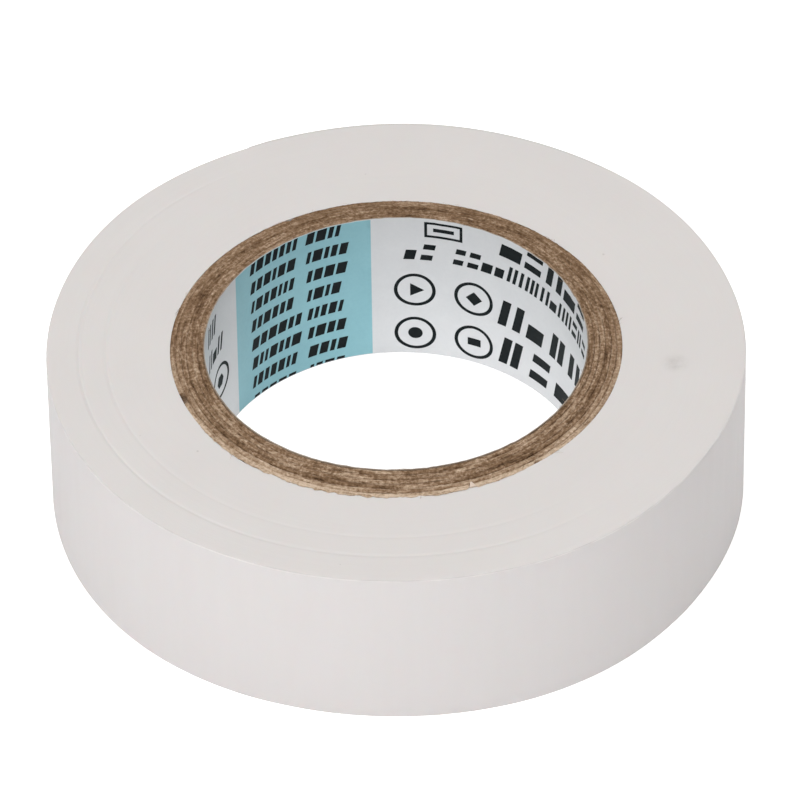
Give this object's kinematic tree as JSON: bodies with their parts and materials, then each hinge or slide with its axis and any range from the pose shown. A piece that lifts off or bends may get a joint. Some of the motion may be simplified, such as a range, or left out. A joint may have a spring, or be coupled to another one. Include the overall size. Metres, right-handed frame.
{
  "type": "electrical tape roll",
  "caption": "Roll of off-white electrical insulating tape wound on a paperboard core, with a printed paper liner in its bore and a free end that peels.",
  "frame": {"origin": "centre of the underside that the roll rests on, on the roll's axis", "axes": "+Z along the roll's axis, up out of the face that shows; -Y towards the viewer"},
  "size_m": [0.0578, 0.0579, 0.0155],
  "materials": {
    "tape_film": "semi-gloss soft PVC film, off-white",
    "core_board": "raw cut brown paperboard",
    "liner_paper": "coated paper, pale grey with a light blue panel"
  },
  "bodies": {
    "roll": {"printed_liner": "liner_paper", "core_ply_1": "core_board", "core_ply_2": "core_board", "core_ply_3": "core_board", "core_ply_4": "core_board", "core_ply_5": "core_board", "core_ply_6": "core_board", "tape_winding": "tape_film"},
    "end_link_01": {"tape_end_01": "tape_film"},
    "end_link_02": {"tape_end_02": "tape_film"},
    "end_link_03": {"tape_end_03": "tape_film"},
    "end_link_04": {"tape_end_04": "tape_film"},
    "end_link_05": {"tape_end_05": "tape_film"},
    "end_link_06": {"tape_end_06": "tape_film"},
    "end_link_07": {"tape_end_07": "tape_film"},
    "end_link_08": {"tape_end_08": "tape_film"},
    "end_link_09": {"tape_end_09": "tape_film"},
    "end_link_10": {"tape_end_10": "tape_film"},
    "end_link_11": {"tape_end_11": "tape_film"},
    "end_link_12": {"tape_end_12": "tape_film"}
  },
  "joints": [
    {"name": "peel", "type": "hinge", "parent": "roll", "child": "end_link_01", "pos_m": [0.01661, 0.02372, 0.0075], "axis": [0, 0, -1], "range_deg": [0, 12]},
    {"name": "peel_02", "type": "hinge", "parent": "end_link_01", "child": "end_link_02", "pos_m": [0.01448, 0.02508, 0.0075], "axis": [0, 0, -1], "range_deg": [0, 12]},
    {"name": "peel_03", "type": "hinge", "parent": "end_link_02", "child": "end_link_03", "pos_m": [0.01224, 0.02625, 0.0075], "axis": [0, 0, -1], "range_deg": [0, 12]},
    {"name": "peel_04", "type": "hinge", "parent": "end_link_03", "child": "end_link_04", "pos_m": [0.00991, 0.02722, 0.0075], "axis": [0, 0, -1], "range_deg": [0, 12]},
    {"name": "peel_05", "type": "hinge", "parent": "end_link_04", "child": "end_link_05", "pos_m": [0.0075, 0.02798, 0.0075], "axis": [0, 0, -1], "range_deg": [0, 12]},
    {"name": "peel_06", "type": "hinge", "parent": "end_link_05", "child": "end_link_06", "pos_m": [0.00503, 0.02853, 0.0075], "axis": [0, 0, -1], "range_deg": [0, 12]},
    {"name": "peel_07", "type": "hinge", "parent": "end_link_06", "child": "end_link_07", "pos_m": [0.00253, 0.02886, 0.0075], "axis": [0, 0, -1], "range_deg": [0, 12]},
    {"name": "peel_08", "type": "hinge", "parent": "end_link_07", "child": "end_link_08", "pos_m": [0, 0.02898, 0.0075], "axis": [0, 0, -1], "range_deg": [0, 12]},
    {"name": "peel_09", "type": "hinge", "parent": "end_link_08", "child": "end_link_09", "pos_m": [-0.00253, 0.02887, 0.0075], "axis": [0, 0, -1], "range_deg": [0, 12]},
    {"name": "peel_10", "type": "hinge", "parent": "end_link_09", "child": "end_link_10", "pos_m": [-0.00503, 0.02854, 0.0075], "axis": [0, 0, -1], "range_deg": [0, 12]},
    {"name": "peel_11", "type": "hinge", "parent": "end_link_10", "child": "end_link_11", "pos_m": [-0.0075, 0.02799, 0.0075], "axis": [0, 0, -1], "range_deg": [0, 12]},
    {"name": "peel_12", "type": "hinge", "parent": "end_link_11", "child": "end_link_12", "pos_m": [-0.00991, 0.02724, 0.0075], "axis": [0, 0, -1], "range_deg": [0, 12]}
  ],
  "couplings": [
    {"joint": "peel_02", "follows": "peel", "ratio": 1},
    {"joint": "peel_03", "follows": "peel", "ratio": 1},
    {"joint": "peel_04", "follows": "peel", "ratio": 1},
    {"joint": "peel_05", "follows": "peel", "ratio": 1},
    {"joint": "peel_06", "follows": "peel", "ratio": 1},
    {"joint": "peel_07", "follows": "peel", "ratio": 1},
    {"joint": "peel_08", "follows": "peel", "ratio": 1},
    {"joint": "peel_09", "follows": "peel", "ratio": 1},
    {"joint": "peel_10", "follows": "peel", "ratio": 1},
    {"joint": "peel_11", "follows": "peel", "ratio": 1},
    {"joint": "peel_12", "follows": "peel", "ratio": 1}
  ]
}
